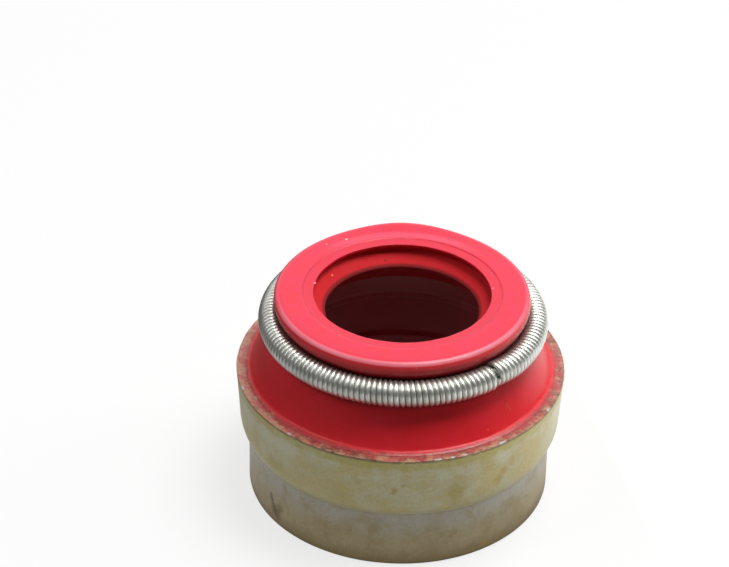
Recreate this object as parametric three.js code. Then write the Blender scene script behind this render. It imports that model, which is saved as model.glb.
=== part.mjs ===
// A valve stem seal for a 5/16 in valve stem: a red rubber body moulded into a drawn steel jacket,
// with a garter spring in the groove round its head. Millimetres, +Z up along the stem.
// The origin is the middle of the jacket's lower edge, where the seal stands.

import * as THREE from "three";

// The valve stem that the lip wipes and the valve guide that the socket grips.
const stemRadius = 3.97;
const guideRadius = 6.35;

// Steel jacket: a skirt, a small step, a taper and a wider band up to the cut rim.
const jacketWall = 0.5;
const skirtHeight = 3.12;
const stepSize = 0.07;
const taperRise = 0.56;
const bandStep = 0.41;
const bandHeight = 3.05;
const rimFlare = 0.2;
const rimRound = 0.06;
const taperRound = 0.35;
const skirtRound = 0.12;

// Rubber lining between the guide and the jacket, bonded to the steel, with grip ribs.
const bondGap = 0.02;
const liningWall = 0.77;
const liningFoot = 0.6;
const leadIn = 0.42;
const ribCount = 3;
const ribDepth = 0.15;
const ribWidth = 0.62;
const firstRibHeight = 1.55;

// Seat for the top of the guide, just above the jacket's rim.
const seatLedge = 0.4;
const seatLand = 0.4;
const beadWidth = 0.2;
const beadRise = 0.09;

// Rubber cone and head. The bore and the lip are measured from the stem.
const coneRise = 2.115;
const lipInterference = 0.15;
const lipLand = 0.11;
const lipDepth = 1.0;
const lipUnderside = 0.6;
const throatClearance = 0.6;
const boreClearance = 0.43;
const neckWall = 1.46;
const headOverhang = 0.5;
const flangeEdge = 0.68;
const flangeRise = 0.875;
const flangeRound = 0.28;
const headRound = 0.3;
const landWidth = 0.5;
const landDrop = 0.05;
const boreEdge = 0.17;
const undercutDepth = 0.2;
const undercutHeight = 0.35;

// Garter spring: one wire, close wound, screwed together at its ends by a thinner tail.
const springSeatGap = 0.045;
const coilRadius = 0.655;
const wireWidth = 0.2;
const turnCount = 160;
const tailTurns = 3;
const tailRadius = 0.3;
const tailTaperTurns = 1.5;
const jointAngle = THREE.MathUtils.degToRad(41);

// How finely round shapes are divided.
const roundSegments = 60;
const cornerSteps = 2;
const grooveSteps = 7;
const stepsPerTurn = 7;

// Radii and heights that follow from the sizes above.
const skirtInner = guideRadius + liningWall + bondGap;
const skirtOuter = skirtInner + jacketWall;
const bandInner = skirtInner + bandStep;
const rimInner = bandInner + rimFlare;
const taperFoot = skirtHeight + stepSize;
const taperTop = taperFoot + taperRise;
const rimHeight = taperTop + bandHeight;

const lipRadius = stemRadius - lipInterference;
const throatRadius = stemRadius + throatClearance;
const boreRadius = stemRadius + boreClearance;
const neckRadius = boreRadius + neckWall;
const headRadius = neckRadius + headOverhang;

const grooveRadius = coilRadius + springSeatGap;
const springRadius = neckRadius + grooveRadius;
const springHeight = rimHeight + coneRise + coilRadius;
const headTop = springHeight + coilRadius + flangeRise;

// A corner of a section, rounded off over a length along both of its sides.
function corner(radius, height, round = 0) {
  return { point: new THREE.Vector2(radius, height), round };
}

// The closed outline of a ring's section, with each rounded corner as a short curve.
function sectionOutline(corners) {
  const outline = [];
  corners.forEach(({ point, round }, index) => {
    const before = corners.at(index - 1).point;
    const after = corners[(index + 1) % corners.length].point;
    if (round === 0) {
      outline.push(point);
      return;
    }
    const start = point.clone().lerp(before, cutShare(point, before, round));
    const end = point.clone().lerp(after, cutShare(point, after, round));
    const curve = new THREE.QuadraticBezierCurve(start, point, end);
    outline.push(...curve.getPoints(cornerSteps));
  });
  outline.push(outline[0].clone());
  return outline;
}

// The share of one side that a corner's rounding takes, at most a little under half of it.
function cutShare(point, neighbour, round) {
  const mostShare = 0.45;
  return Math.min(mostShare, round / point.distanceTo(neighbour));
}

// A ring turned from its section about the stem's axis.
function turnedRing(corners) {
  return new THREE.LatheGeometry(sectionOutline(corners), roundSegments).rotateX(Math.PI / 2);
}

// The wall that steel and rubber share, from the skirt up to the rim, a gap inside the steel.
function sharedWall(gap) {
  return [
    corner(skirtInner - gap, taperFoot),
    corner(bandInner - gap, taperTop, taperRound),
    corner(rimInner - gap, rimHeight),
  ];
}

function makeJacket() {
  return turnedRing([
    corner(skirtOuter, 0, skirtRound),
    corner(skirtOuter, skirtHeight),
    corner(skirtOuter + stepSize, taperFoot),
    corner(bandInner + jacketWall, taperTop, taperRound),
    corner(rimInner + jacketWall, rimHeight, rimRound),
    ...sharedWall(0).reverse(),
    corner(skirtInner, 0),
  ]);
}

// The half-round groove that holds the spring, from its lower lip up to the head's overhang.
function grooveCorners() {
  const lowerLip = THREE.MathUtils.degToRad(253);
  const upperLip = THREE.MathUtils.degToRad(130);
  const arc = new THREE.ArcCurve(springRadius, springHeight, grooveRadius, lowerLip, upperLip, true);
  return arc.getPoints(grooveSteps).map((point) => corner(point.x, point.y));
}

// The ribs inside the socket, from the highest to the lowest, evenly spread below the seat.
function ribCorners(seatHeight) {
  const pitch = (seatHeight - firstRibHeight) / (ribCount + 1);
  const foot = Math.min(ribWidth, pitch) / 2;
  const crest = foot / 2;
  const corners = [];
  for (let rib = ribCount - 1; rib >= 0; rib--) {
    const middle = firstRibHeight + rib * pitch;
    corners.push(
      corner(guideRadius, middle + foot),
      corner(guideRadius - ribDepth, middle + crest),
      corner(guideRadius - ribDepth, middle - crest),
      corner(guideRadius, middle - foot),
    );
  }
  return corners;
}

function makeRubber() {
  const lipHeight = headTop - lipDepth;
  const ledgeHeight = headTop - boreEdge - undercutHeight;
  const seatRadius = guideRadius - seatLedge;
  return turnedRing([
    corner(skirtInner - bondGap, liningFoot),
    ...sharedWall(bondGap),
    corner(rimInner - beadWidth, rimHeight + beadRise, beadRise),
    ...grooveCorners(),
    corner(headRadius, headTop - flangeEdge, flangeRound),
    corner(headRadius, headTop, headRound),
    corner(boreRadius + landWidth, headTop),
    corner(boreRadius, headTop - landDrop),
    corner(boreRadius, headTop - boreEdge),
    corner(boreRadius + undercutDepth, headTop - boreEdge - undercutDepth),
    corner(boreRadius + undercutDepth, ledgeHeight),
    corner(lipRadius, lipHeight),
    corner(lipRadius, lipHeight - lipLand),
    corner(throatRadius, lipHeight - lipLand - lipUnderside),
    corner(seatRadius, rimHeight + seatLand),
    corner(seatRadius, rimHeight),
    corner(guideRadius, rimHeight),
    ...ribCorners(rimHeight),
    corner(guideRadius, liningFoot + leadIn),
    corner(guideRadius + leadIn, liningFoot),
  ]);
}

// The wire's path: a coil wound round the ring, whose last turns narrow to the tail that is
// screwed into the first ones.
class GarterCoil extends THREE.Curve {
  // The direction from the middle of the coil to the wire, at a turn of the coil.
  coilDirection(turn) {
    const along = this.ringAngle(turn);
    const round = -2 * Math.PI * turn;
    return new THREE.Vector3(
      Math.sin(along) * Math.cos(round),
      -Math.cos(along) * Math.cos(round),
      Math.sin(round),
    );
  }

  ringAngle(turn) {
    return jointAngle + (2 * Math.PI * turn) / turnCount;
  }

  turnAt(share) {
    return share * (turnCount + tailTurns);
  }

  getPoint(share, target = new THREE.Vector3()) {
    const turn = this.turnAt(share);
    const along = this.ringAngle(turn);
    const fullRadius = coilRadius - wireWidth / 2;
    const narrowing = THREE.MathUtils.smoothstep(turn, turnCount - tailTaperTurns, turnCount);
    const radius = THREE.MathUtils.lerp(fullRadius, tailRadius, narrowing);
    return target
      .set(springRadius * Math.sin(along), -springRadius * Math.cos(along), springHeight)
      .addScaledVector(this.coilDirection(turn), radius);
  }

  // Steps are shared out by turns, so each turn has as many as the next.
  getSpacedPoints(steps) {
    return this.getPoints(steps);
  }

  // The wire's section keeps one side outward, all the way round each turn.
  computeFrenetFrames(steps) {
    const frames = { tangents: [], normals: [], binormals: [] };
    for (let step = 0; step <= steps; step++) {
      const share = step / steps;
      const tangent = this.getTangent(share);
      const outward = this.coilDirection(this.turnAt(share));
      const binormal = new THREE.Vector3().crossVectors(tangent, outward).normalize();
      frames.tangents.push(tangent);
      frames.normals.push(new THREE.Vector3().crossVectors(binormal, tangent));
      frames.binormals.push(binormal);
    }
    return frames;
  }
}

function makeSpring() {
  const half = wireWidth / 2;
  const section = new THREE.Shape([
    new THREE.Vector2(-half, -half),
    new THREE.Vector2(half, -half),
    new THREE.Vector2(half, half),
    new THREE.Vector2(-half, half),
  ]);
  return new THREE.ExtrudeGeometry(section, {
    steps: (turnCount + tailTurns) * stepsPerTurn,
    extrudePath: new GarterCoil(),
  });
}

function namedMesh(name, geometry, colour, roughness, metalness) {
  const material = new THREE.MeshStandardMaterial({ color: colour, roughness, metalness });
  const mesh = new THREE.Mesh(geometry, material);
  mesh.name = name;
  return mesh;
}

const seal = new THREE.Group();
seal.add(
  namedMesh("steel_jacket", makeJacket(), "#8c8873", 0.5, 0.6),
  namedMesh("rubber_body", makeRubber(), "#d4283f", 0.45, 0),
  namedMesh("garter_spring", makeSpring(), "#b4b6b0", 0.3, 0.9),
);

export default seal;
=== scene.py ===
# A valve stem seal: red rubber body in a stained steel jacket, with a garter spring round its head.
import math

import bmesh
import bpy
from mathutils import Matrix, Vector, noise


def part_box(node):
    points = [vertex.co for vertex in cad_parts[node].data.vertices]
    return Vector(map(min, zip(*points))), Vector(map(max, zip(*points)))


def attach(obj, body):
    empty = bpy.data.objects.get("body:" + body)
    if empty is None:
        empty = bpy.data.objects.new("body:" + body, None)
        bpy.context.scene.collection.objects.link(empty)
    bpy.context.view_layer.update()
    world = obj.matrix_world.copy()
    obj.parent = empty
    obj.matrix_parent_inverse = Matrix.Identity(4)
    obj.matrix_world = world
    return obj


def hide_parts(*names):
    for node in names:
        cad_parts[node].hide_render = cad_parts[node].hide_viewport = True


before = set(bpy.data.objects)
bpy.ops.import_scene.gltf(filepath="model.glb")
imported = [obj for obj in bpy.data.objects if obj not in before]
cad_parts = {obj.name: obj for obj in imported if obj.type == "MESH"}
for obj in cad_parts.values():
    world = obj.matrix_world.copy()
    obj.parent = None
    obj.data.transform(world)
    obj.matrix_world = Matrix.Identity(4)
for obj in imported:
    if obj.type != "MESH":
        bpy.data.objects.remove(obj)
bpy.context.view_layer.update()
mm = 0.001

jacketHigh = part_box("steel_jacket")[1]
rubberLow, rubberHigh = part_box("rubber_body")
springLow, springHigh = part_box("garter_spring")

# Sizes that the solids give, in millimetres.
rimRadius = jacketHigh.x / mm
rimHeight = jacketHigh.z / mm
liningFoot = rubberLow.z / mm
headTop = rubberHigh.z / mm
coilRadius = 0.655
springHeight = (springHigh.z + springLow.z) / 2 / mm
springRadius = springHigh.y / mm - coilRadius


def tint(red, green, blue):  # a screen colour of 0 to 255 as the shader's linear colour
    channels = []
    for level in (red, green, blue):
        share = level / 255
        channels.append(share / 12.92 if share <= 0.04045 else ((share + 0.055) / 1.055) ** 2.4)
    return (*channels, 1.0)


class Wire:  # a socket of a shader that can be reckoned with
    def __init__(self, finish, socket):
        self.finish = finish
        self.socket = socket

    def reckon(self, operation, *values):
        return self.finish.make("ShaderNodeMath", {"operation": operation}, dict(enumerate(values)))

    def __add__(self, other):
        return self.reckon("ADD", self, other)

    def __radd__(self, other):
        return self.reckon("ADD", other, self)

    def __sub__(self, other):
        return self.reckon("SUBTRACT", self, other)

    def __rsub__(self, other):
        return self.reckon("SUBTRACT", other, self)

    def __mul__(self, other):
        return self.reckon("MULTIPLY", self, other)

    def __rmul__(self, other):
        return self.reckon("MULTIPLY", other, self)

    def __pow__(self, other):
        return self.reckon("POWER", self, other)

    def most(self, other):
        return self.reckon("MAXIMUM", self, other)

    def rise(self, low, high):
        # 0 below low and 1 above high, or the other way round if low is above high
        settings = {"interpolation_type": "SMOOTHSTEP"}
        sockets = {"Value": self, "From Min": low, "From Max": high}
        return self.finish.make("ShaderNodeMapRange", settings, sockets)


class Finish:  # a material or world being made from nodes
    def __init__(self, owner):
        owner.use_nodes = True
        self.owner = owner
        self.tree = owner.node_tree
        self.tree.nodes.clear()

    def make(self, kind, settings=None, sockets=None, output=0):
        node = self.tree.nodes.new(kind)
        for name, value in (settings or {}).items():
            setattr(node, name, value)
        for name, value in (sockets or {}).items():
            if isinstance(value, Wire):
                self.tree.links.new(value.socket, node.inputs[name])
            else:
                node.inputs[name].default_value = value
        return Wire(self, node.outputs[output]) if node.outputs else node

    def vectorMaths(self, operation, sockets, output=0):
        return self.make("ShaderNodeVectorMath", {"operation": operation}, sockets, output)

    def blend(self, share, first, second, kind="MIX"):  # two colours mixed by a share
        settings = {"data_type": "RGBA", "blend_type": kind}
        return self.make("ShaderNodeMix", settings, {0: share, 6: first, 7: second}, output=2)

    def millimetres(self):  # the place on the piece, as a vector in millimetres
        place = self.make("ShaderNodeTexCoord", output=3)
        return self.vectorMaths("SCALE", {0: place, "Scale": 1 / mm})

    def stretched(self, place, along):
        return self.vectorMaths("MULTIPLY", {0: place, 1: along})

    def clouds(self, place, scale, detail=3.0, rough=0.5, shift=0.0):  # soft noise from 0 to 1
        moved = self.vectorMaths("ADD", {0: place, 1: (shift, shift, shift)})
        sockets = {"Vector": moved, "Scale": scale, "Detail": detail, "Roughness": rough}
        return self.make("ShaderNodeTexNoise", None, sockets)

    def axisParts(self, place):
        parts = self.make("ShaderNodeSeparateXYZ", None, {0: place})
        across, along, up = (Wire(self, socket) for socket in parts.socket.node.outputs)
        radius = (across * across + along * along) ** 0.5
        return across, along, up, radius

    def ragged(self, place, scale, reach):
        # the place pushed about, for stains with uneven outlines
        sockets = {"Vector": place, "Scale": scale, "Detail": 4.0, "Roughness": 0.6}
        push = self.make("ShaderNodeTexNoise", None, sockets, output=1)
        centred = self.vectorMaths("SUBTRACT", {0: push, 1: (0.5, 0.5, 0.5)})
        sized = self.vectorMaths("SCALE", {0: centred, "Scale": reach})
        return self.vectorMaths("ADD", {0: place, 1: sized})

    def spot(self, place, centre, reach, soft):
        # 1 near a point in millimetres, 0 past its reach
        away = self.vectorMaths("DISTANCE", {0: place, 1: centre}, output=1)
        return away.rise(reach, reach * soft)

    def spots(self, place, marks, soft):  # the same for a list of points, each with its reach
        joined, *others = [self.spot(place, centre, reach, soft) for centre, reach in marks]
        for other in others:
            joined = joined.most(other)
        return joined

    def seenRays(self):  # rays from the camera, off a shiny face and through a clear one
        rays = self.make("ShaderNodeLightPath").socket.node
        names = ("Is Camera Ray", "Is Glossy Ray", "Is Transmission Ray")
        return [Wire(self, rays.outputs[name]) for name in names]

    def close(self, colour, roughness, metallic, height, depth, **extra):
        bump = {"Height": height, "Distance": depth * mm, "Strength": 1.0}
        sockets = {
            "Base Color": colour,
            "Roughness": roughness,
            "Metallic": metallic,
            "Normal": self.make("ShaderNodeBump", None, bump),
            **extra,
        }
        shader = self.make("ShaderNodeBsdfPrincipled", None, sockets)
        self.make("ShaderNodeOutputMaterial", None, {"Surface": shader})


def onWall(radius, degrees, height):
    # a point on the seal, at degrees from the front that grow to the right
    turn = math.radians(degrees)
    return (radius * math.sin(turn), -radius * math.cos(turn), height)


def sectionEdges(corners, longest, segments=4):
    # a closed outline in the XZ plane, its corners rounded off and its long sides cut up
    shape = bmesh.new()
    places = [shape.verts.new((radius * mm, 0, height * mm)) for radius, height, _ in corners]
    face = shape.faces.new(places)
    for vert, (_, _, rounding) in zip(places, corners):
        if rounding:
            bmesh.ops.bevel(
                shape, geom=[vert], offset=rounding * mm, offset_type="OFFSET", segments=segments,
                profile=0.5, affect="VERTICES", material=-1, clamp_overlap=True,
            )
    bmesh.ops.delete(shape, geom=shape.faces[:], context="FACES_ONLY")
    for edge in shape.edges[:]:
        cuts = math.ceil(edge.calc_length() / (longest * mm)) - 1
        if cuts > 0:
            bmesh.ops.subdivide_edges(shape, edges=[edge], cuts=cuts)
    return shape


def turnRound(shape, steps):
    # an eighth of the round is spun, then doubled three times
    bmesh.ops.spin(
        shape, geom=shape.verts[:] + shape.edges[:], cent=(0, 0, 0), axis=(0, 0, 1), dvec=(0, 0, 0),
        angle=math.pi / 4, space=Matrix.Identity(4), steps=steps // 8, use_merge=False,
        use_normal_flip=False, use_duplicate=False,
    )
    for turn in (math.pi / 4, math.pi / 2, math.pi):
        copied = bmesh.ops.duplicate(shape, geom=shape.verts[:] + shape.edges[:] + shape.faces[:])
        verts = [part for part in copied["geom"] if isinstance(part, bmesh.types.BMVert)]
        bmesh.ops.rotate(shape, verts=verts, cent=(0, 0, 0), matrix=Matrix.Rotation(turn, 3, "Z"))
    bmesh.ops.remove_doubles(shape, verts=shape.verts[:], dist=0.0005 * mm)
    bmesh.ops.recalc_face_normals(shape, faces=shape.faces[:])


def finishPiece(shape, name, node, finish, sharpDegrees=40):
    mesh = bpy.data.meshes.new(name)
    shape.to_mesh(mesh)
    shape.free()
    mesh.shade_smooth()
    mesh.set_sharp_from_angle(angle=math.radians(sharpDegrees))
    mesh.materials.append(finish)
    piece = bpy.data.objects.new(name, mesh)
    bpy.context.scene.collection.objects.link(piece)
    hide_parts(node)
    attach(piece, "root")
    print("made", name, len(mesh.polygons), "faces")
    return piece


def ripple(place, scale, seed):
    # smooth noise from about -1 to 1 at a point, at so many waves a metre
    return noise.noise(place * scale + Vector((seed, -seed, 2 * seed)))


def clamped(share):
    return min(1.0, max(0.0, share))


def eased(share):
    return share * share * (3 - 2 * share)


def nearness(distance, reach):  # 1 at no distance, 0 from the reach on
    return max(0.0, 1 - distance / reach)


# Steel jacket

jacket = {
    "wall": 0.5,
    "skirtRadius": 7.64,
    "skirtTop": 3.12,
    "step": 0.07,
    "bandRadius": 8.05,
    "taperTop": 3.75,
    "taperRound": 0.35,
    "footRound": 0.12,
    "stepRound": 0.03,
    "rimRound": 0.05,
    "steps": 400,
    "longest": 0.16,
    "steelWave": 0.009,
    "rimRough": 0.035,
    "rimRoughOut": 0.0175,
    "rimDepth": 0.14,
    "burrHeight": 0.03,
    "burrWidth": 0.09,
    "creaseTop": (-56.4, 1.6),  # degrees from the front, height
    "creaseFoot": (-53.6, 0.7),
    "creaseWidth": 0.12,
    "creasePress": 0.014,
    "creaseShadeReach": 0.2,
}


def makeJacket(finish):
    wall = jacket["wall"]
    inner = jacket["skirtRadius"] - wall
    taperFoot = jacket["skirtTop"] + jacket["step"]
    shape = sectionEdges([
        (jacket["skirtRadius"], 0, jacket["footRound"]),
        (jacket["skirtRadius"], jacket["skirtTop"], jacket["stepRound"]),
        (jacket["skirtRadius"] + jacket["step"], taperFoot, jacket["stepRound"]),
        (jacket["bandRadius"], jacket["taperTop"], jacket["taperRound"]),
        (rimRadius, rimHeight, jacket["rimRound"]),
        (rimRadius - wall, rimHeight, 0.02),
        (jacket["bandRadius"] - wall, jacket["taperTop"], jacket["taperRound"]),
        (inner, taperFoot, 0.1),
        (inner, 0, 0.06),
    ], jacket["longest"])
    turnRound(shape, jacket["steps"])
    for vert in shape.verts:
        roughenSteel(vert)
    return finishPiece(shape, "steelJacket", "steel_jacket", finish)


def creasePoints(count):  # points down the crease in the skirt
    (topTurn, topHeight), (footTurn, footHeight) = jacket["creaseTop"], jacket["creaseFoot"]
    points = []
    for index in range(count):
        share = index / (count - 1)
        degrees = topTurn + share * (footTurn - topTurn)
        height = topHeight + share * (footHeight - topHeight)
        points.append(onWall(jacket["skirtRadius"], degrees, height))
    return points


def roughenSteel(vert):
    place = vert.co.copy()
    height = place.z / mm
    radius = math.hypot(place.x, place.y) / mm
    out = Vector((place.x, place.y, 0)).normalized()
    wave = ripple(place, 450, 3.1) + 0.5 * ripple(place, 1300, 7.7)
    vert.co += out * wave * jacket["steelWave"] * mm
    for point in creasePoints(9):
        near = nearness((place / mm - Vector(point)).length, jacket["creaseWidth"])
        vert.co -= out * near * jacket["creasePress"] * mm
    nearRim = nearness(rimHeight - height, jacket["rimDepth"])
    if nearRim > 0:  # the sheared edge
        chip = ripple(place, 2200, 11.0) + 0.6 * ripple(place, 6000, 5.0)
        vert.co += out * chip * nearRim * jacket["rimRoughOut"] * mm
        vert.co.z += (chip - 0.35) * nearRim * jacket["rimRough"] * mm
        outer = nearness(rimRadius - radius, jacket["burrWidth"])
        burr = max(0.0, ripple(place, 900, 21.0) + 0.25)
        vert.co.z += burr * outer * nearRim * jacket["burrHeight"] * mm


steelColours = {
    "grey": tint(202, 198, 164),
    "warm": tint(202, 188, 134),
    "olive": tint(190, 180, 108),
    "pale": tint(210, 207, 182),
    "mustard": tint(196, 180, 118),
    "skirtTop": tint(188, 184, 170),
    "skirtMiddle": tint(184, 169, 130),
    "skirtFoot": tint(162, 141, 98),
    "soil": tint(168, 148, 96),
    "film": tint(178, 58, 62),
    "filmBrown": tint(128, 76, 56),
    "filmTan": tint(186, 134, 106),
    "burr": tint(190, 186, 178),
    "shadow": tint(84, 62, 42),
    "creaseSoil": tint(126, 102, 54),
    "creaseShade": tint(96, 76, 40),
}
steelZones = {  # the heights between which each marking fades in or out
    "paleLow": (5.2, 5.7),
    "paleHigh": (6.35, 6.0),
    "underEdge": (6.15, 6.4),
    "skirtTop": (1.2, 2.9),
    "skirtFoot": (1.1, 0.1),
    "band": (3.1, 3.2),
    "footShadow": (0.16, 0.02),
    "stepShadeLow": (3.0, 3.1),
    "stepShadeHigh": (3.2, 3.14),
    "stepHighlightLow": (3.13, 3.2),
    "stepHighlightHigh": (3.36, 3.24),
    "underRimShadeLow": (rimHeight - 0.2, rimHeight - 0.1),
    "underRimShadeHigh": (rimHeight - 0.03, rimHeight - 0.08),
    "cutEdge": (rimHeight - 0.09, rimHeight - 0.04),
}
jacketMarks = [  # degrees from the front, height, reach, strength and colour of each stain
    (-53.5, 0.9, 0.45, 0.6, tint(132, 112, 62)),
    (-51.2, 1.2, 0.4, 0.6, tint(128, 106, 60)),
    (-50.8, 1.0, 0.3, 0.6, tint(140, 118, 66)),
    (-52.0, 0.55, 0.25, 0.5, tint(130, 108, 60)),
    (-50, 4.3, 1.0, 0.7, tint(186, 172, 96)),
    (-44, 3.9, 0.8, 0.5, tint(190, 176, 106)),
    (-30, 5.4, 0.8, 0.4, tint(190, 176, 110)),
    (-22, 4.1, 1.2, 0.45, tint(188, 172, 104)),
    (-14, 5.3, 0.5, 0.45, tint(180, 168, 96)),
    (-2.2, 4.9, 0.3, 0.75, tint(178, 152, 76)),
    (0.4, 5.25, 0.26, 0.75, tint(178, 152, 76)),
    (-8, 4.1, 0.9, 0.4, tint(190, 174, 108)),
    (19, 4.5, 0.9, 0.7, tint(180, 160, 84)),
    (22, 5.1, 0.9, 0.5, tint(184, 166, 96)),
    (29, 4.2, 0.5, 0.5, tint(196, 172, 104)),
    (36, 4.5, 0.45, 0.75, tint(186, 160, 90)),
    (39, 4.9, 0.45, 0.75, tint(186, 160, 90)),
    (42, 5.3, 0.4, 0.6, tint(190, 168, 102)),
    (45, 4.3, 0.9, 0.5, tint(196, 182, 120)),
    (35, 0.3, 0.4, 0.8, tint(190, 152, 76)),
    (57, 1.7, 0.22, 0.6, tint(176, 152, 106)),
    (59, 1.3, 0.22, 0.5, tint(180, 156, 110)),
    (-20, 1.9, 0.8, 0.4, tint(164, 144, 96)),
    (12, 0.7, 1.0, 0.4, tint(158, 138, 92)),
]
creaseSoil = [(-52.5, 0.95, 0.42), (-51.9, 0.6, 0.34)]  # degrees, height and reach
burrs = [  # degrees and reach of each bright burr on the rim
    (12, 0.28), (19, 0.22), (22, 0.25), (37, 0.3), (-41, 0.3), (62, 0.3), (-72, 0.3),
]


def edgeFilm(finish, place, radius):
    # the dusty film of rubber and rust that covers the cut edge and the rubber beside it
    colours = steelColours
    cloud = finish.clouds(place, 3.6, 4.0, 0.65, 40.0)
    streak = finish.clouds(place, 2.2, 5.0, 0.7, 33.0)
    inner = radius.rise(8.2, 7.6)
    leftward = finish.axisParts(place)[0].rise(-4.0, -7.5)
    tan = (cloud + 0.1 * leftward).rise(0.38, 0.6)
    film = finish.blend(tan, colours["filmBrown"], colours["filmTan"])
    film = finish.blend((streak + 0.22 * inner).rise(0.5, 0.68) * 0.9, film, colours["film"])
    return finish.blend(cloud.rise(0.4, 0.3) * 0.7, film, colours["shadow"])


def makeSteelFinish():
    finish = Finish(bpy.data.materials.new("stainedSteel"))
    place = finish.millimetres()
    up, radius = finish.axisParts(place)[2:]
    cloud = finish.clouds(place, 0.55, 4.0, 0.6)
    patch = finish.clouds(place, 0.85, 5.0, 0.62, 9.0)
    run = finish.clouds(finish.stretched(place, (1.0, 1.0, 0.45)), 1.5, 4.0, 0.6, 4.0)
    grain = finish.clouds(place, 6.5, 4.0, 0.75, 2.0)
    speck = finish.clouds(place, 3.4, 3.0, 0.7, 27.0)
    scratch = finish.clouds(finish.stretched(place, (6.0, 6.0, 0.5)), 2.2, 3.0, 0.6, 15.0)
    ragged = finish.ragged(place, 1.3, 1.1)
    colours, zones, skirtWall = steelColours, steelZones, jacket["skirtRadius"]

    band = finish.blend(cloud.rise(0.36, 0.64), colours["grey"], colours["warm"])
    pale = up.rise(*zones["paleLow"]) * up.rise(*zones["paleHigh"])
    band = finish.blend(pale * cloud.rise(0.62, 0.42) * 0.6, band, colours["pale"])
    raggedUp = finish.axisParts(ragged)[2]
    underEdge = raggedUp.rise(*zones["underEdge"]) * (0.4 + 0.6 * patch.rise(0.35, 0.55))
    band = finish.blend(underEdge * 0.9, band, colours["olive"])
    band = finish.blend(patch.rise(0.46, 0.68) * 0.55, band, colours["mustard"])
    skirt = finish.blend(up.rise(*zones["skirtTop"]), colours["skirtMiddle"], colours["skirtTop"])
    skirt = finish.blend(raggedUp.rise(*zones["skirtFoot"]), skirt, colours["skirtFoot"])
    skirt = finish.blend(patch.rise(0.46, 0.68) * 0.6, skirt, colours["soil"])
    skirt = finish.blend(run.rise(0.4, 0.75) * 0.25, skirt, colours["skirtFoot"])
    steel = finish.blend(up.rise(*zones["band"]), skirt, band)

    for degrees, height, reach, share, colour in jacketMarks:
        wall = skirtWall if height < jacket["skirtTop"] else jacket["bandRadius"]
        mark = finish.spot(ragged, onWall(wall, degrees, height), reach, 0.2)
        steel = finish.blend(mark * share, steel, colour)
    # the dark line down the dent in the skirt is painted shade; the soil marks beside it are stains
    stain = jacket["creaseShadeReach"]
    crease = finish.spots(place, [(point, stain) for point in creasePoints(7)], 0.15)
    soilMarks = [(onWall(skirtWall, turn, height), reach) for turn, height, reach in creaseSoil]
    soil = finish.spots(place, soilMarks, 0.1)
    steel = finish.blend(soil * speck.rise(0.3, 0.5) * 0.8, steel, colours["creaseSoil"])
    steel = finish.blend(crease * 0.75, steel, colours["creaseShade"])
    steel = finish.blend(speck.rise(0.68, 0.74) * 0.5, steel, colours["soil"])
    steel = finish.blend((1 - speck.rise(0.26, 0.33)) * 0.5, steel, colours["pale"])

    footShadow = up.rise(*zones["footShadow"]) * grain.rise(0.35, 0.55)
    steel = finish.blend(footShadow * 0.55, steel, colours["shadow"])
    # a darker line along the step between skirt and band: painted shade under the step
    stepShade = up.rise(*zones["stepShadeLow"]) * up.rise(*zones["stepShadeHigh"])
    steel = finish.blend(stepShade * 0.25, steel, colours["skirtFoot"])
    # a pale line along the foot of the taper: painted highlight
    stepHighlight = up.rise(*zones["stepHighlightLow"]) * up.rise(*zones["stepHighlightHigh"])
    steel = finish.blend(stepHighlight * 0.5, steel, colours["pale"])
    # a dark line just under the rim's outer edge: painted shade
    underRimShade = up.rise(*zones["underRimShadeLow"]) * up.rise(*zones["underRimShadeHigh"])
    steel = finish.blend(underRimShade * 0.6 * speck.rise(0.35, 0.5), steel, colours["shadow"])

    top = up.rise(*zones["cutEdge"])
    steel = finish.blend(top, steel, edgeFilm(finish, place, radius))
    burrMarks = [(onWall(rimRadius - 0.03, turn, rimHeight), reach) for turn, reach in burrs]
    shine = finish.spots(ragged, burrMarks, 0.5)
    shine = shine * top * speck.rise(0.35, 0.5) * radius.rise(8.08, 8.16)
    steel = finish.blend(shine, steel, colours["burr"])

    shade = 0.74 + 0.52 * grain
    steel = finish.blend(1.0, steel, shade, "MULTIPLY")
    roughness = 0.46 + 0.12 * cloud + 0.06 * grain
    metallic = 0.75 - 0.6 * top
    height = 0.7 * grain + 0.35 * scratch + 0.8 * patch
    coat = {"Coat Weight": 0.55, "Coat Roughness": 0.4}
    finish.close(steel, roughness, metallic, height, 0.012, **coat)
    return finish.owner


# Rubber body

rubber = {
    "lining": 7.12,
    "guide": 6.35,
    "ribs": 3,
    "ribDepth": 0.15,
    "ribWidth": 0.62,
    "ribLow": 1.55,
    "bondGap": 0.02,
    "leadIn": 0.42,
    "seatLedge": 0.4,
    "seatLand": 0.4,
    "bore": 4.4,
    "boreEdge": 0.17,
    "undercut": 0.2,
    "undercutHeight": 0.35,
    "lip": 3.82,
    "lipDepth": 1.0,
    "lipLand": 0.11,
    "lipUnderside": 0.6,
    "lipRound": 0.07,
    "throatOut": 0.17,
    "head": 6.36,
    "headRound": 0.3,
    "flange": 0.68,
    "flangeRound": 0.28,
    "land": 0.53,
    "landDrop": 0.05,
    "groove": 0.7,
    "grooveFrom": 253,
    "grooveTo": 130,
    "grooveSteps": 12,
    "steps": 320,
    "longest": 0.2,
    "skinWave": 0.006,
    "backLift": 0.13,
    "backSpread": 22,
    "backTurn": 1,
    "boreTrim": 0.02,
    "nubTurn": -99,
    "nubReach": 0.13,
    "nubSize": 0.09,
    "flashRise": 0.014,
    "flashOut": 0.03,
}
beadCorners = [  # out from the steel's inner edge, above the rim, rounding
    (0, -0.02, 0),
    (0.08, -0.008, 0),
    (-0.03, 0.045, 0.05),
    (-0.18, 0.085, 0.08),
]


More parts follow.
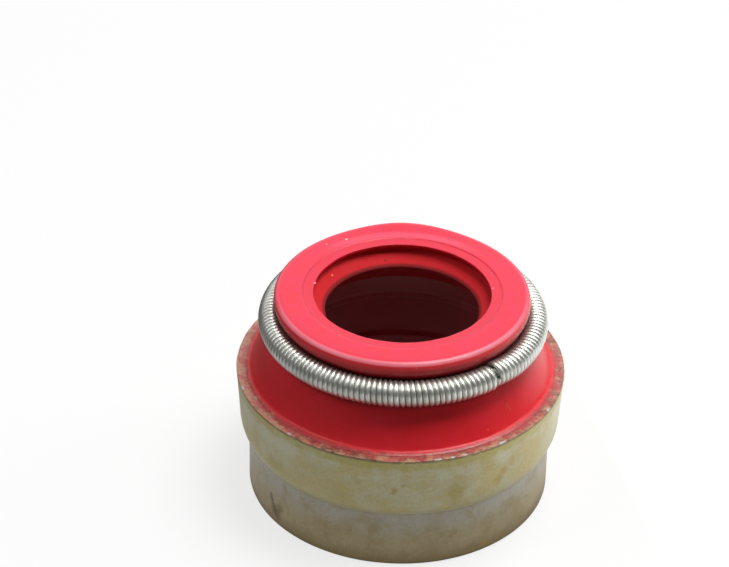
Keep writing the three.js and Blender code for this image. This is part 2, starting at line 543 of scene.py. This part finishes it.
def grooveArc():
    points = []
    low, high, count = rubber["grooveFrom"], rubber["grooveTo"], rubber["grooveSteps"]
    for index in range(count + 1):
        turn = math.radians(low + (high - low) * index / count)
        radius = springRadius + rubber["groove"] * math.cos(turn)
        height = springHeight + rubber["groove"] * math.sin(turn)
        points.append((radius, height, 0.04 if index in (0, count) else 0))
    return points


def ribSection():
    pitch = (rimHeight - rubber["ribLow"]) / (rubber["ribs"] + 1)
    guide, half = rubber["guide"], rubber["ribWidth"] / 2
    points = []
    for rib in reversed(range(rubber["ribs"])):
        middle = rubber["ribLow"] + rib * pitch
        points += [
            (guide, middle + half, 0.05),
            (guide - rubber["ribDepth"], middle + half / 2, 0.07),
            (guide - rubber["ribDepth"], middle - half / 2, 0.07),
            (guide, middle - half, 0.05),
        ]
    return points


def makeRubber(finish):
    bore, guide, lip = rubber["bore"], rubber["guide"], rubber["lip"]
    taperFoot = jacket["skirtTop"] + jacket["step"]
    wall = jacket["wall"] + rubber["bondGap"]
    rimInner = rimRadius - wall
    undercutTop = headTop - rubber["boreEdge"] - rubber["undercut"]
    undercutFoot = headTop - rubber["boreEdge"] - rubber["undercutHeight"]
    lipTop = headTop - rubber["lipDepth"]
    lipFoot = lipTop - rubber["lipLand"]
    seat = guide - rubber["seatLedge"]
    shape = sectionEdges([
        (rubber["lining"], liningFoot, 0.05),
        (rubber["lining"], taperFoot, 0.1),
        (jacket["bandRadius"] - wall, jacket["taperTop"], jacket["taperRound"]),
        *[(rimInner + out, rimHeight + above, bend) for out, above, bend in beadCorners],
        *grooveArc(),
        (rubber["head"], headTop - rubber["flange"], rubber["flangeRound"]),
        (rubber["head"], headTop, rubber["headRound"]),
        (bore + rubber["land"] + 0.05, headTop, 0.03),
        (bore + rubber["land"], headTop - 0.03, 0.02),
        (bore + 0.26, headTop - 0.045, 0.02),
        (bore, headTop - rubber["landDrop"], 0.03),
        (bore, headTop - rubber["boreEdge"], 0.02),
        (bore + rubber["undercut"], undercutTop, 0.04),
        (bore + rubber["undercut"], undercutFoot, 0.08),
        (lip, lipTop, rubber["lipRound"]),
        (lip, lipFoot, 0.04),
        (bore + rubber["throatOut"], lipFoot - rubber["lipUnderside"], 0.15),
        (seat, rimHeight + rubber["seatLand"], 0.06),
        (seat, rimHeight, 0.06),
        (guide, rimHeight, 0.08),
        *ribSection(),
        (guide, liningFoot + rubber["leadIn"], 0.05),
        (guide + rubber["leadIn"], liningFoot, 0.05),
    ], rubber["longest"])
    turnRound(shape, rubber["steps"])
    for vert in shape.verts:
        waveSkin(vert)
    return finishPiece(shape, "rubberBody", "rubber_body", finish)


def waveSkin(vert):
    place = vert.co.copy()
    out = Vector((place.x, place.y, 0)).normalized()
    height = place.z / mm
    radius = math.hypot(place.x, place.y) / mm
    free = clamped((height - rimHeight - 0.1) / 0.3)
    wave = ripple(place, 700, 1.7) + 0.5 * ripple(place, 2400, 9.4)
    vert.co += out * wave * rubber["skinWave"] * free * mm
    if height > headTop - 0.9 and radius > 5.0:  # the back of the head stands up a little
        turn = math.degrees(math.atan2(place.x, place.y))
        middle = math.exp(-((turn - rubber["backTurn"]) / rubber["backSpread"]) ** 2)
        lift = rubber["backLift"] * middle * eased(clamped((radius - 5.1) / 1.1))
        vert.co.z += lift * mm
        vert.co += out * lift * 0.6 * mm
    if height > headTop - 0.3 and radius < rubber["bore"] + 0.1:  # the trimmed edge of the bore
        vert.co += out * ripple(place, 1500, 30.0) * rubber["boreTrim"] * mm
        nub = onWall(rubber["bore"], rubber["nubTurn"], headTop - rubber["landDrop"])
        near = nearness((place / mm - Vector(nub)).length, rubber["nubReach"])
        vert.co -= out * near * rubber["nubSize"] * mm
    if rimHeight - 0.05 < height < rimHeight + 0.2 and radius > 7.3:  # flash along the steel
        flash = ripple(place, 1100, 17.0) + 0.5 * ripple(place, 3600, 13.0)
        vert.co.z += flash * rubber["flashRise"] * mm
        vert.co += out * flash * rubber["flashOut"] * mm


rubberColours = {
    "bright": tint(233, 36, 44),
    "deep": tint(237, 42, 54),
    "mottle": tint(216, 28, 38),
    # painted sheen of the top face
    "top": tint(233, 43, 79),
    "ring": tint(214, 10, 50),
    "ringLine": tint(176, 4, 40),
    "inside": tint(146, 28, 34),
    # painted shade under the spring
    "groove": tint(110, 8, 14),
    "edgeHighlight": tint(250, 170, 185),
    "lowerSideShade": tint(140, 4, 18),
    "funnel": tint(198, 18, 28),
    "lipShade": tint(116, 14, 18),
    "sheenArc": tint(240, 120, 150),
    "dust": tint(244, 140, 140),
}
rubberZones = {  # heights, or distances from the axis, where each marking fades in or out
    "top": (headTop - 0.12, headTop - 0.04),
    "ring": (4.98, 4.9),
    "lineInner": (4.86, 4.93),
    "lineOuter": (5.0, 4.95),
    "insideHeight": (9.98, 9.5),
    "insideRadius": (6.6, 6.4),
    "grooveShadeLow": (rimHeight + 1.7, rimHeight + 2.1),
    "grooveShadeHigh": (headTop - 0.55, headTop - 0.72),
    "grooveRadius": (5.6, 5.8),
    "edgeHighlightRadius": (6.06, 6.18),
    "edgeHighlightHeight": (headTop - 0.2, headTop - 0.12),
    "edgeHighlightFront": (1.0, -4.0),
    "sideShadeHeight": (headTop - 0.25, headTop - 0.6),
    "sideShadeRadius": (6.0, 6.2),
    "sideShadeFoot": (9.9, 10.2),
    "funnelHeight": (headTop - 0.2, headTop - 0.3),
    "funnelRadius": (5.0, 4.9),
    "lipRadius": (4.02, 3.9),
    "besideHigh": (rimHeight + 0.2, rimHeight + 0.12),
    "besideLow": (rimHeight - 0.1, rimHeight - 0.02),
    "besideRadius": (7.76, 7.86),
    "sheenArcInner": (4.95, 5.1),
    "sheenArcOuter": (5.6, 5.35),
    "sheenArcBack": (3.2, 4.8),
}
rubberSpecks = [  # radius, degrees from the front, height, size and colour of each bit of dust
    (5.51, -149.1, 11.1, 0.09, tint(252, 196, 186)),
    (5.7, -137.8, 11.1, 0.07, tint(250, 160, 160)),
    (4.39, -99.1, 11.05, 0.09, tint(250, 150, 165)),
    (4.52, 95.9, 11.07, 0.08, tint(250, 140, 150)),
    (4.28, -125.0, 10.38, 0.08, tint(236, 130, 80)),
    (7.01, 47.1, 7.78, 0.06, tint(214, 96, 34)),
    (7.05, 47.0, 7.71, 0.05, tint(214, 96, 34)),
    (7.09, 47.2, 7.64, 0.05, tint(214, 96, 34)),
    (7.16, 47.7, 7.51, 0.06, tint(214, 96, 34)),
    (4.16, -168.2, 10.31, 0.07, tint(120, 30, 24)),
    (4.13, -168.6, 10.27, 0.06, tint(120, 30, 24)),
]


def makeRubberFinish():
    finish = Finish(bpy.data.materials.new("redRubber"))
    place = finish.millimetres()
    along, up, radius = finish.axisParts(place)[1:]
    colours, zones = rubberColours, rubberZones
    cloud = finish.clouds(place, 0.5, 3.0, 0.5)
    smear = finish.clouds(finish.stretched(place, (1.0, 1.0, 0.4)), 1.3, 4.0, 0.6, 6.0)
    grain = finish.clouds(place, 16.0, 2.0, 0.7, 3.0)
    mottle = finish.clouds(place, 4.0, 3.0, 0.6, 12.0)

    red = finish.blend(cloud.rise(0.3, 0.7), colours["bright"], colours["deep"])
    red = finish.blend(mottle.rise(0.5, 0.8) * 0.3, red, colours["mottle"])
    top = up.rise(*zones["top"])
    # the top face tinted magenta in patches: painted sheen
    red = finish.blend(top * (0.5 + 0.5 * smear.rise(0.35, 0.65)), red, colours["top"])
    ring = radius.rise(*zones["ring"]) * top
    red = finish.blend(ring * 0.3, red, colours["ring"])
    line = radius.rise(*zones["lineInner"]) * radius.rise(*zones["lineOuter"])
    line = line * top * smear.rise(0.35, 0.6)
    red = finish.blend(line * 0.5, red, colours["ringLine"])
    # the inner wall of the socket darkened: painted shade in the recess
    inside = up.rise(*zones["insideHeight"]) * radius.rise(*zones["insideRadius"])
    red = finish.blend(inside * 0.75, red, colours["inside"])
    # the groove and the cone under the spring darkened: painted shade
    groove = up.rise(*zones["grooveShadeLow"]) * up.rise(*zones["grooveShadeHigh"])
    red = finish.blend(groove * radius.rise(*zones["grooveRadius"]) * 0.6, red, colours["groove"])
    # a pale pink band on the head's rounded edge, strongest at the front: painted highlight
    edgeHighlight = radius.rise(*zones["edgeHighlightRadius"]) * up.rise(*zones["edgeHighlightHeight"])
    edgeHighlight = edgeHighlight * (0.35 + 0.65 * along.rise(*zones["edgeHighlightFront"])) * (0.3 + 0.3 * smear)
    red = finish.blend(edgeHighlight, red, colours["edgeHighlight"])
    # the lower side of the head darkened: painted shade under the flange
    lowerSideShade = up.rise(*zones["sideShadeHeight"]) * radius.rise(*zones["sideShadeRadius"])
    lowerSideShade = lowerSideShade * up.rise(*zones["sideShadeFoot"])
    red = finish.blend(lowerSideShade * 0.5, red, colours["lowerSideShade"])
    funnel = up.rise(*zones["funnelHeight"]) * radius.rise(*zones["funnelRadius"])
    red = finish.blend(funnel * 0.8, red, colours["funnel"])
    lipShade = funnel * radius.rise(*zones["lipRadius"])
    red = finish.blend(lipShade * 0.8, red, colours["lipShade"])
    beside = up.rise(*zones["besideHigh"]) * up.rise(*zones["besideLow"])
    beside = beside * (radius + 0.3 * mottle).rise(*zones["besideRadius"])
    red = finish.blend(beside * 0.85, red, edgeFilm(finish, place, radius))

    for away, degrees, height, size, colour in rubberSpecks:
        speck = finish.spot(place, onWall(away, degrees, height), size, 0.4)
        red = finish.blend(speck, red, colour)
    # a pale pink arc on the top face towards the back: painted sheen
    sheenArc = radius.rise(*zones["sheenArcInner"]) * radius.rise(*zones["sheenArcOuter"])
    sheenArc = sheenArc * along.rise(*zones["sheenArcBack"]) * top
    red = finish.blend(sheenArc * (0.15 + 0.25 * smear), red, colours["sheenArc"])
    dust = finish.clouds(place, 5.5, 1.0, 0.5, 60.0).rise(0.79, 0.83)
    red = finish.blend(dust * 0.5, red, colours["dust"])

    roughness = 0.27 + 0.1 * smear + 0.06 * mottle + 0.5 * funnel
    height = 0.6 * grain + 0.9 * mottle + 0.6 * smear
    finish.close(red, roughness, 0.0, height, 0.006, IOR=1.45)
    return finish.owner


# Garter spring

spring = {
    "turns": 160,
    "tail": 3,
    "stepsPerTurn": 20,
    "sides": 9,
    "wire": 0.129,
    "tailRadius": 0.3,
    "narrowing": 0.6,
    "joint": 40.0,
    "lift": 0.12,
    "liftTurns": 7,
    "shift": 0.08,
    "wobble": 0.12,
    "wobbleRate": 0.35,
}


def makeSpring(finish):
    # one turn screwed along X and repeated, then bent round into the ring
    turns = spring["turns"] + spring["tail"]
    pitch = 2 * math.pi * springRadius * mm / spring["turns"]
    coil = (coilRadius - spring["wire"]) * mm
    shape = bmesh.new()
    ring = bmesh.ops.create_circle(
        shape, cap_ends=False, segments=spring["sides"], radius=spring["wire"] * mm,
    )
    bmesh.ops.translate(shape, verts=ring["verts"], vec=(0, coil, 0))
    bmesh.ops.spin(
        shape, geom=shape.verts[:] + shape.edges[:], cent=(0, 0, 0), axis=(1, 0, 0),
        dvec=(pitch / spring["stepsPerTurn"], 0, 0), angle=-2 * math.pi, space=Matrix.Identity(4),
        steps=spring["stepsPerTurn"], use_merge=False, use_normal_flip=False, use_duplicate=False,
    )
    firstTurn = shape.verts[:] + shape.edges[:] + shape.faces[:]
    for turn in range(1, turns):
        copied = bmesh.ops.duplicate(shape, geom=firstTurn)
        verts = [part for part in copied["geom"] if isinstance(part, bmesh.types.BMVert)]
        bmesh.ops.translate(shape, verts=verts, vec=(turn * pitch, 0, 0))
    bmesh.ops.remove_doubles(shape, verts=shape.verts[:], dist=0.0005 * mm)
    openEdges = [edge for edge in shape.edges if edge.is_boundary]
    bmesh.ops.holes_fill(shape, edges=openEdges, sides=0)
    bmesh.ops.recalc_face_normals(shape, faces=shape.faces[:])
    for vert in shape.verts:
        bendCoil(vert, pitch, coil)
    return finishPiece(shape, "garterSpring", "garter_spring", finish, 60)


def bendCoil(vert, pitch, coil):
    turn = vert.co.x / pitch
    outward, up = vert.co.y, vert.co.z
    reach = math.hypot(outward, up)
    narrow = eased(clamped((turn - spring["turns"]) / spring["narrowing"] + 1))
    shift = narrow * (spring["tailRadius"] * mm - coil)
    outward, up = outward * (reach + shift) / reach, up * (reach + shift) / reach
    start = nearness(turn, spring["liftTurns"])
    up += spring["lift"] * start * start * mm
    wobble = spring["wobble"] * noise.noise(Vector((turn * spring["wobbleRate"], 4.0, 0)))
    along = math.radians(spring["joint"]) + 2 * math.pi * (turn + wobble) / spring["turns"]
    radius = springRadius * mm + outward
    vert.co = Vector((radius * math.sin(along), -radius * math.cos(along), springHeight * mm + up))
    vert.co.x += spring["shift"] * mm


def makeWireFinish():
    finish = Finish(bpy.data.materials.new("springWire"))
    place = finish.millimetres()
    cloud = finish.clouds(place, 1.1, 3.0, 0.6)
    grain = finish.clouds(place, 22.0, 2.0, 0.6, 8.0)
    oil = finish.clouds(place, 2.6, 3.0, 0.6, 14.0)
    colour = finish.blend(cloud.rise(0.3, 0.7), tint(228, 229, 223), tint(206, 207, 199))
    colour = finish.blend(oil.rise(0.58, 0.75) * 0.4, colour, tint(178, 172, 146))
    roughness = 0.3 + 0.12 * cloud + 0.06 * grain
    finish.close(colour, roughness, 0.92, grain, 0.004)
    return finish.owner


# Studio

studio = {
    "cameraPlace": (-1.8764, -106.4364, 80.9517),
    "cameraDip": 33.12,
    "cameraRoll": 0.963,
    "sensor": 36.0,
    "lens": 127.3,
    "clipStart": 0.01,
    "clipEnd": 20.0,
    "aim": (0, 0, 6),
    "worldLevel": 0.08,
    "behind": (0.1, 0.83, 0.54),
    "behindCone": (0.58, 0.99),
    "behindDark": 0.1,
    "behindBright": 1.65,
    "floorHalf": 2.0,
    "floorGlow": 0.75,
    "floorShade": 0.45,
    "floorSeen": 0.9,
}
lamps = [  # name, place in millimetres, side of the square lamp in millimetres, watts
    ("keyLamp", (95, 25, 330), 190, 1.06),
    ("rightLamp", (270, 60, 200), 150, 0.2),
    ("leftLamp", (-200, -30, 250), 190, 0.21),
]


def makeCamera():
    data = bpy.data.cameras.new("camera")
    data.sensor_width = studio["sensor"]
    data.lens = studio["lens"]
    data.clip_start = studio["clipStart"]
    data.clip_end = studio["clipEnd"]
    camera = bpy.data.objects.new("camera", data)
    bpy.context.scene.collection.objects.link(camera)
    place = Matrix.Translation(Vector(studio["cameraPlace"]) * mm)
    dip = Matrix.Rotation(math.radians(90 - studio["cameraDip"]), 4, "X")
    roll = Matrix.Rotation(math.radians(studio["cameraRoll"]), 4, "Z")
    camera.matrix_world = place @ dip @ roll
    bpy.context.scene.camera = camera


def makeLamps():
    for name, place, side, watts in lamps:
        data = bpy.data.lights.new(name, "AREA")
        data.shape = "SQUARE"
        data.size = side * mm
        data.energy = watts
        lamp = bpy.data.objects.new(name, data)
        bpy.context.scene.collection.objects.link(lamp)
        aim = (Vector(studio["aim"]) - Vector(place)).to_track_quat("-Z", "Y")
        lamp.matrix_world = Matrix.Translation(Vector(place) * mm) @ aim.to_matrix().to_4x4()


def makeWorld():
    # plain and dim for the soft light, white where it is seen, bright behind in reflections
    world = bpy.data.worlds.new("studioWorld")
    finish = Finish(world)
    camera, glossy, through = finish.seenRays()
    direction = finish.make("ShaderNodeTexCoord", output=0)
    behind = Vector(studio["behind"]).normalized()
    facing = finish.vectorMaths("DOT_PRODUCT", {0: direction, 1: behind}, output=1)
    bright = studio["behindBright"] * facing.rise(*studio["behindCone"])
    seen = camera.most(through).most(studio["behindDark"] + bright)
    white = finish.make("ShaderNodeBackground", None, {"Strength": seen})
    plain = finish.make("ShaderNodeBackground", None, {"Strength": studio["worldLevel"]})
    share = camera.most(glossy).most(through)
    both = finish.make("ShaderNodeMixShader", None, {0: share, 1: plain, 2: white})
    finish.make("ShaderNodeOutputWorld", None, {"Surface": both})
    bpy.context.scene.world = world


def makeFloor():
    # pale paper that keeps the shadow, and that reflections see as lit in parts
    shape = bmesh.new()
    bmesh.ops.create_grid(shape, x_segments=1, y_segments=1, size=studio["floorHalf"])
    mesh = bpy.data.meshes.new("floor")
    shape.to_mesh(mesh)
    shape.free()
    finish = Finish(bpy.data.materials.new("paleFloor"))
    camera, glossy, through = finish.seenRays()
    shade = studio["floorShade"] + (studio["floorSeen"] - studio["floorShade"]) * camera
    paper = finish.make("ShaderNodeBsdfDiffuse", None, {"Color": shade})
    across, along, _, radius = finish.axisParts(finish.millimetres())
    backward = (along + 0.4 * across).rise(-12.0, 24.0)
    rightward = across.rise(6.0, 16.0)
    leftBack = (along - 1.2 * across).rise(20.0, 32.0)
    # the reflected glow fades under and beside the piece: a painted shadow
    clear = radius.rise(7.1, 8.4)
    mirrored = 0.5 + 0.5 * backward + 0.5 * rightward
    mirrored = mirrored * (1 - 0.85 * leftBack) * (0.25 + 0.75 * clear)
    level = mirrored.most(camera).most(through)
    glow = finish.make("ShaderNodeEmission", None, {"Color": (1, 1, 1, 1), "Strength": level})
    share = (camera.most(through) * studio["floorGlow"]).most(glossy)
    both = finish.make("ShaderNodeMixShader", None, {0: share, 1: paper, 2: glow})
    finish.make("ShaderNodeOutputMaterial", None, {"Surface": both})
    mesh.materials.append(finish.owner)
    floor = bpy.data.objects.new("floor", mesh)
    bpy.context.scene.collection.objects.link(floor)


makeCamera()
makeWorld()
makeLamps()
makeFloor()
bpy.context.scene.view_settings.view_transform = "Standard"
print("studio ready")

makeJacket(makeSteelFinish())
makeRubber(makeRubberFinish())
makeSpring(makeWireFinish())
print("pieces ready")
